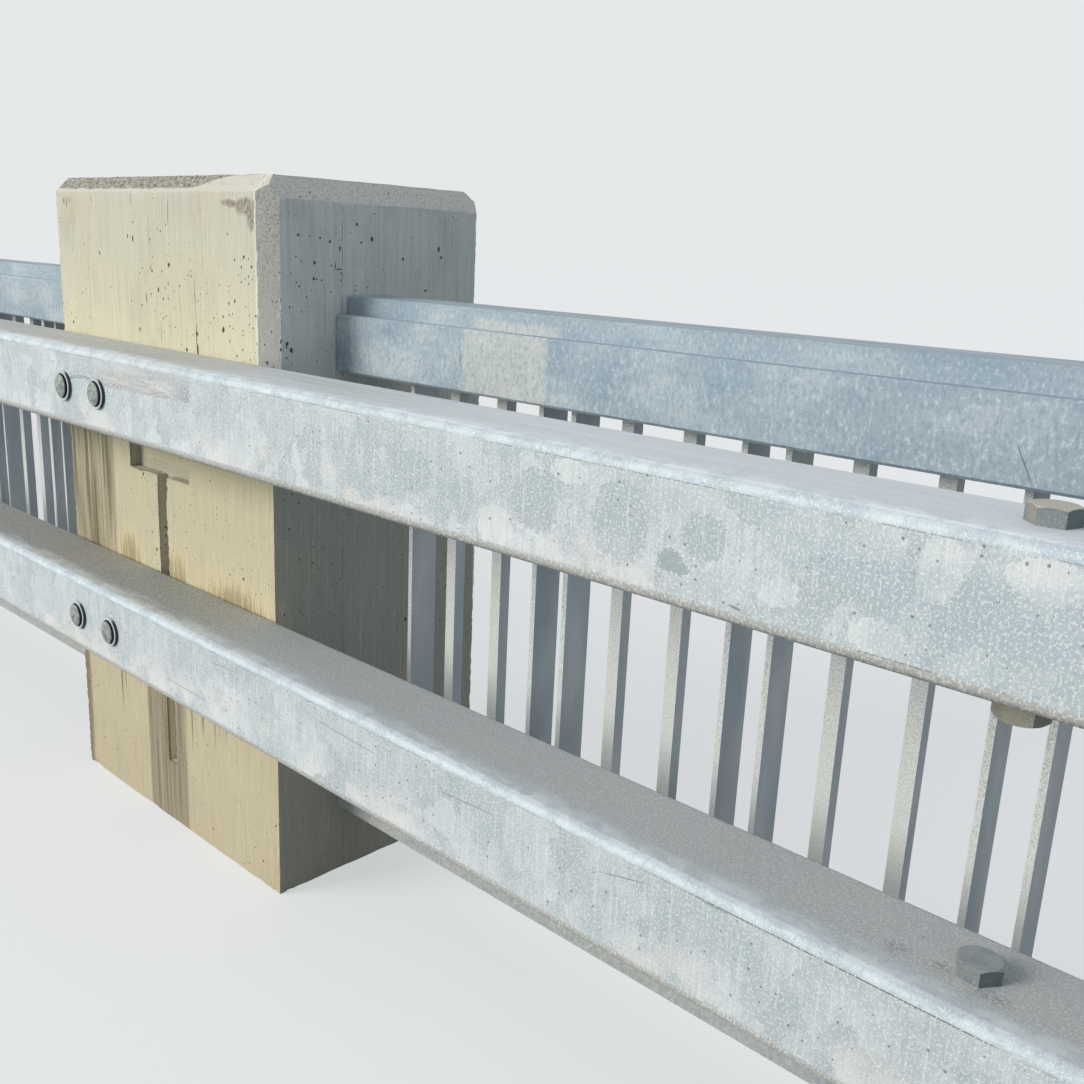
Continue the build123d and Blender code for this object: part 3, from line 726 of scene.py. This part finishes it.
# Painted light: faces turned to the road are painted paler than the sides.
front = add(tree, "MapRange", {}, {"Value": facing[1], "From Min": -0.5, "From Max": -0.9})
colour = coat(tree, colour, "D3D5D0", 0.9, front, 0.0, 1.0)
pocked = add(tree, "MapRange", {"interpolation_type": "SMOOTHSTEP"},
             {"Value": height, "From Min": 0.45, "From Max": 0.75, "To Min": 0.35})
pocked = add(tree, "Math", {"operation": "MULTIPLY"}, {0: pocked, 1: front})
colour = coat(tree, colour, "6D716D", 0.62, speckle, 0.53, 0.62, pocked)
colour = coat(tree, colour, "F0F1EE", 0.60, speckle, 0.46, 0.38, pocked)
colour = coat(tree, colour, "8E9AA1", 0.25, speckle, 0.52, 0.66)
end_finish(tree, colour, speckle, 0.3, 0.0006, {"Metallic": 0.25, "Roughness": 0.6})

for name in ([f"{kind}_bars_{bay}" for kind in ("flat", "square") for bay in range(1, 5)]
             + ["rail_anchors", "upper_sleeves", "lower_sleeves"]):
    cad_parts[name].data.materials.clear()
    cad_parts[name].data.materials.append(bar_zinc)


# Splice bolts
# Heavy hexagon bolts of forged steel that stand up through the tubes at each joint, dipped
# in zinc after forging: dull, grainy, with worn rounded corners.
bolt_zinc, tree, here, (along, across, height), facing = new_finish("dull_zinc_on_bolt")
stain = grain(tree, here, (55, 55, 55), 4, 0.6)
colour = add(tree, "ValToRGB", {"stops": [(0.32, "7A8487"), (0.48, "909A9D"), (0.62, "A2A8A7"),
                                          (0.78, "B4B3A8")]}, {0: stain})
# Painted shade: faces turned to +X, away from the lamp, are painted darker.
plus_x_painted_shade = add(tree, "MapRange", {}, {"Value": facing[0], "From Min": 0.3, "From Max": 0.6})
colour = coat(tree, colour, "566468", 0.80, plus_x_painted_shade, 0.0, 1.0)
# Painted shade: faces turned to the front are painted darker.
front_painted_shade = add(tree, "MapRange", {}, {"Value": facing[1], "From Min": -0.5, "From Max": -0.8})
colour = coat(tree, colour, "6E7475", 0.60, front_painted_shade, 0.0, 1.0)
windward = add(tree, "MapRange", {}, {"Value": facing[0], "From Min": -0.1, "From Max": -0.4})
colour = coat(tree, colour, "988B72", 0.62, stain, 0.42, 0.56, windward)
# The bolt tops are painted paler: warm cream on the upper bolts, and a lighter grey on the lower
# ones as painted light against the upper tube's shade.
topside = add(tree, "MapRange", {}, {"Value": facing[2], "From Min": 0.5, "From Max": 0.9})
colour = coat(tree, colour, "C9C2AF", 0.75, height, 0.90, 0.92, topside)
colour = coat(tree, colour, "AEB5B6", 0.50, height, 0.72, 0.70, topside)
under = add(tree, "MapRange", {}, {"Value": facing[2], "From Min": 0.6, "From Max": 0.3})
hanging = add(tree, "Math", {"operation": "COMPARE"}, {0: height, 1: 0.835, 2: 0.030})
hanging = add(tree, "Math", {"operation": "MULTIPLY"}, {0: hanging, 1: under})
colour = coat(tree, colour, "A59C82", 0.55, hanging, 0.0, 1.0)
grit = grain(tree, here, (600, 600, 600), 3, 0.7)
colour = coat(tree, colour, "5F6768", 0.5, grit, 0.50, 0.66)
colour = coat(tree, colour, "BFC6C6", 0.5, grit, 0.44, 0.30)
end_finish(tree, colour, grit, 0.4, 0.0005, {"Metallic": 0.35, "Roughness": 0.55})

splice_joints = (-6.045, 2.015)
splice_offsets = (-0.297, -0.100, 0.100, 0.297)
head_height = 0.0175
nut_height = 0.028
head_flats = 0.0429
nut_flats = 0.0460
washer = 0.005
shank_radius = 0.0143
bolt_tail = 0.008


def settle(whole, part, place):
    """Moves a finished part to its place and adds it to the mesh of like parts."""
    bmesh.ops.recalc_face_normals(part, faces=part.faces)
    part.transform(place)
    spare = bpy.data.meshes.new("spare")
    part.to_mesh(spare)
    part.free()
    whole.from_mesh(spare)
    bpy.data.meshes.remove(spare)


def forged_hexagon(flats, high, turn):
    """A hexagon nut or head standing on the origin, its top corners turned off round."""
    part = bmesh.new()
    bmesh.ops.create_circle(part, cap_ends=True, segments=6,
                            radius=flats / 2 / math.cos(math.pi / 6))
    bmesh.ops.subdivide_edges(part, edges=part.edges[:], cuts=5)
    flat = flats / 2 * 0.985
    top = bmesh.ops.extrude_face_region(part, geom=part.faces[:])["geom"]
    for v in [v for v in top if isinstance(v, bmesh.types.BMVert)]:
        v.co.z = high - max(0.0, v.co.to_2d().length - flat) * 0.5
    cap = [f for f in top if isinstance(f, bmesh.types.BMFace)]
    bmesh.ops.inset_region(part, faces=cap, thickness=0.001)
    for v in {v for f in cap for v in f.verts}:
        v.co = (v.co.to_2d().normalized() * flat).to_3d() + Vector((0, 0, high))
    part.transform(Matrix.Rotation(math.radians(turn), 4, "Z"))
    return part


def turned(outline):
    """A round part spun about Z from an outline of radius and height pairs."""
    part = bmesh.new()
    line = [part.verts.new((radius, 0.0, high)) for radius, high in outline]
    edges = [part.edges.new(pair) for pair in zip(line, line[1:])]
    bmesh.ops.spin(part, geom=line + edges, cent=(0, 0, 0), axis=(0, 0, 1), dvec=(0, 0, 0),
                   angle=2 * math.pi, steps=28, use_merge=True, use_duplicate=False)
    bmesh.ops.remove_doubles(part, verts=part.verts, dist=1e-6)
    return part


heads, nuts = bmesh.new(), bmesh.new()
turn = -6.8
for row_height in row_heights:
    for x in [joint + offset for joint in splice_joints for offset in splice_offsets]:
        over = Vector((x, tube_centre_y, row_height + tube_side / 2))
        settle(heads, forged_hexagon(head_flats, head_height, turn), Matrix.Translation(over))
        length = tube_side + nut_height + bolt_tail + head_height / 2
        shank = bmesh.new()
        bmesh.ops.create_cone(shank, cap_ends=True, segments=24, radius1=shank_radius * 0.9,
                              radius2=shank_radius, depth=length)
        settle(heads, shank, Matrix.Translation(over + Vector((0, 0, (head_height - length) / 2))))
        under = (Matrix.Translation((x, tube_centre_y, row_height - tube_side / 2))
                 @ Matrix.Rotation(math.pi, 4, "X"))
        settle(nuts, turned([(0.0, 0.0), (0.0285, 0.0), (0.0285, washer), (0.0, washer)]), under)
        settle(nuts, forged_hexagon(nut_flats, nut_height, -turn),
               under @ Matrix.Translation((0, 0, washer)))
        turn += 27.45
for bm, name, node, slot in ((heads, "forged_splice_bolts", "splice_bolts", "hex_bolt_steel"),
                             (nuts, "forged_splice_nuts", "splice_nuts", "hex_nut_steel")):
    piece = place_piece(bm, name, bolt_zinc)
    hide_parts(node)
    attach(piece, "root")


# Dome bolts
# Two round-headed bolts on washers clamp each tube to each post. At the back of the post
# each ends in a nut on a round plate, down in its own square pocket.
bolt_spread = 0.0665
pocket_floor = -post_front - 0.040        # the pockets are 40 mm deep

# Chalky old zinc: the coat on these bolts has gone dull and greenish, with dark blotches.
dome_zinc, tree, here, (along, across, height), facing = new_finish("chalky_zinc_on_dome_bolt")
blotch = grain(tree, here, (120, 120, 120), 4, 0.65)
colour = add(tree, "ValToRGB", {"stops": [(0.34, "6C7171"), (0.46, "868C8A"), (0.58, "989E9A"),
                                          (0.72, "ADB2AD")]}, {0: blotch})
grit = grain(tree, here, (700, 700, 700), 3, 0.7)
colour = coat(tree, colour, "62645C", 0.45, grit, 0.52, 0.66)
colour = coat(tree, colour, "CDD0C8", 0.45, grit, 0.44, 0.32)
# The washer's rim is paler. The gap round the head and every face turned to +X, away from the
# lamp, are painted near black: painted shade.
beside = add(tree, "Math", {"operation": "WRAP"}, {0: along, 1: bay_pitch / 2, 2: -bay_pitch / 2})
beside = add(tree, "Math", {"operation": "ABSOLUTE"}, {0: beside})
beside = add(tree, "Math", {"operation": "SUBTRACT"}, {0: beside, 1: bolt_spread})
above = add(tree, "Math", {"operation": "WRAP"}, {
    0: height, 1: row_heights[1] + row_gap / 2, 2: row_heights[1] - row_gap / 2})
above = add(tree, "Math", {"operation": "SUBTRACT"}, {0: above, 1: row_heights[1]})
radius = add(tree, "VectorMath", {"operation": "LENGTH"}, {0: add(tree, "CombineXYZ", inputs={
    0: beside, 2: above})}).outputs["Value"]
colour = coat(tree, colour, "C3C9C9", 0.80, radius, 0.0234, 0.0240)
gap = add(tree, "Math", {"operation": "COMPARE"}, {0: radius, 1: 0.0223, 2: 0.0012})
# Painted shade: the gap round the head is painted near black.
colour = coat(tree, colour, "202425", 0.92, gap, 0.0, 1.0)
# Painted shade: faces turned to +X are painted near black.
colour = coat(tree, colour, "1D2122", 0.92, facing[0], 0.25, 0.60)
nicks = blots(tree, here, [(-0.07, 0.4815, 0.01, 0.0016, -38),
    (0.071, 0.476, 0.012, 0.0014, 20)], plane=(-0.41, 0.03))
colour = coat(tree, colour, "4A4C47", 0.8, nicks, 0.1, 0.5)
end_finish(tree, colour, grit, 0.4, 0.0005, {"Metallic": 0.2, "Roughness": 0.7})


# A washer 57 mm across and 5.5 mm thick, a gap that the finish paints dark as painted shade, and a
# low head 43 mm across on it.
dome_outline = [(0.0, 0.0), (0.0285, 0.0), (0.0285, 0.0042), (0.0277, 0.0053), (0.0236, 0.0056),
                (0.0230, 0.0036), (0.0216, 0.0036), (0.0217, 0.0082), (0.0213, 0.0092),
                (0.0202, 0.0099), (0.0160, 0.0108), (0.0100, 0.0116), (0.0045, 0.0120),
                (0.0, 0.0121)]
to_road = Matrix.Rotation(math.pi / 2, 4, "X")
to_back = Matrix.Rotation(-math.pi / 2, 4, "X")
places = [(post * bay_pitch + side * bolt_spread, row_height) for post in range(-2, 3)
          for row_height in row_heights for side in (-1, 1)]
domes, back_nuts = bmesh.new(), bmesh.new()
for i, (x, row_height) in enumerate(places):
    settle(domes, turned(dome_outline), Matrix.Translation((x, tube_front, row_height)) @ to_road)
    place = Matrix.Translation((x, pocket_floor, row_height)) @ to_back
    settle(back_nuts, turned([(0.0, -0.001), (0.031, -0.001), (0.032, 0.0), (0.032, 0.004),
                              (0.031, 0.005), (0.0, 0.005)]), place)
    settle(back_nuts, forged_hexagon(0.036, 0.019, 8 + 17 * i),
           place @ Matrix.Translation((0, 0, 0.005)))
    settle(back_nuts, turned([(0.0, 0.020), (0.012, 0.020), (0.012, 0.0325), (0.0108, 0.034),
                              (0.0, 0.034)]), place)
for bm, name, slot in ((domes, "dome_bolts_on_washers", "hex_bolt_steel"),
                       (back_nuts, "nuts_in_pockets", "hex_nut_steel")):
    piece = place_piece(bm, name, dome_zinc, 35)
    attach(piece, "root")
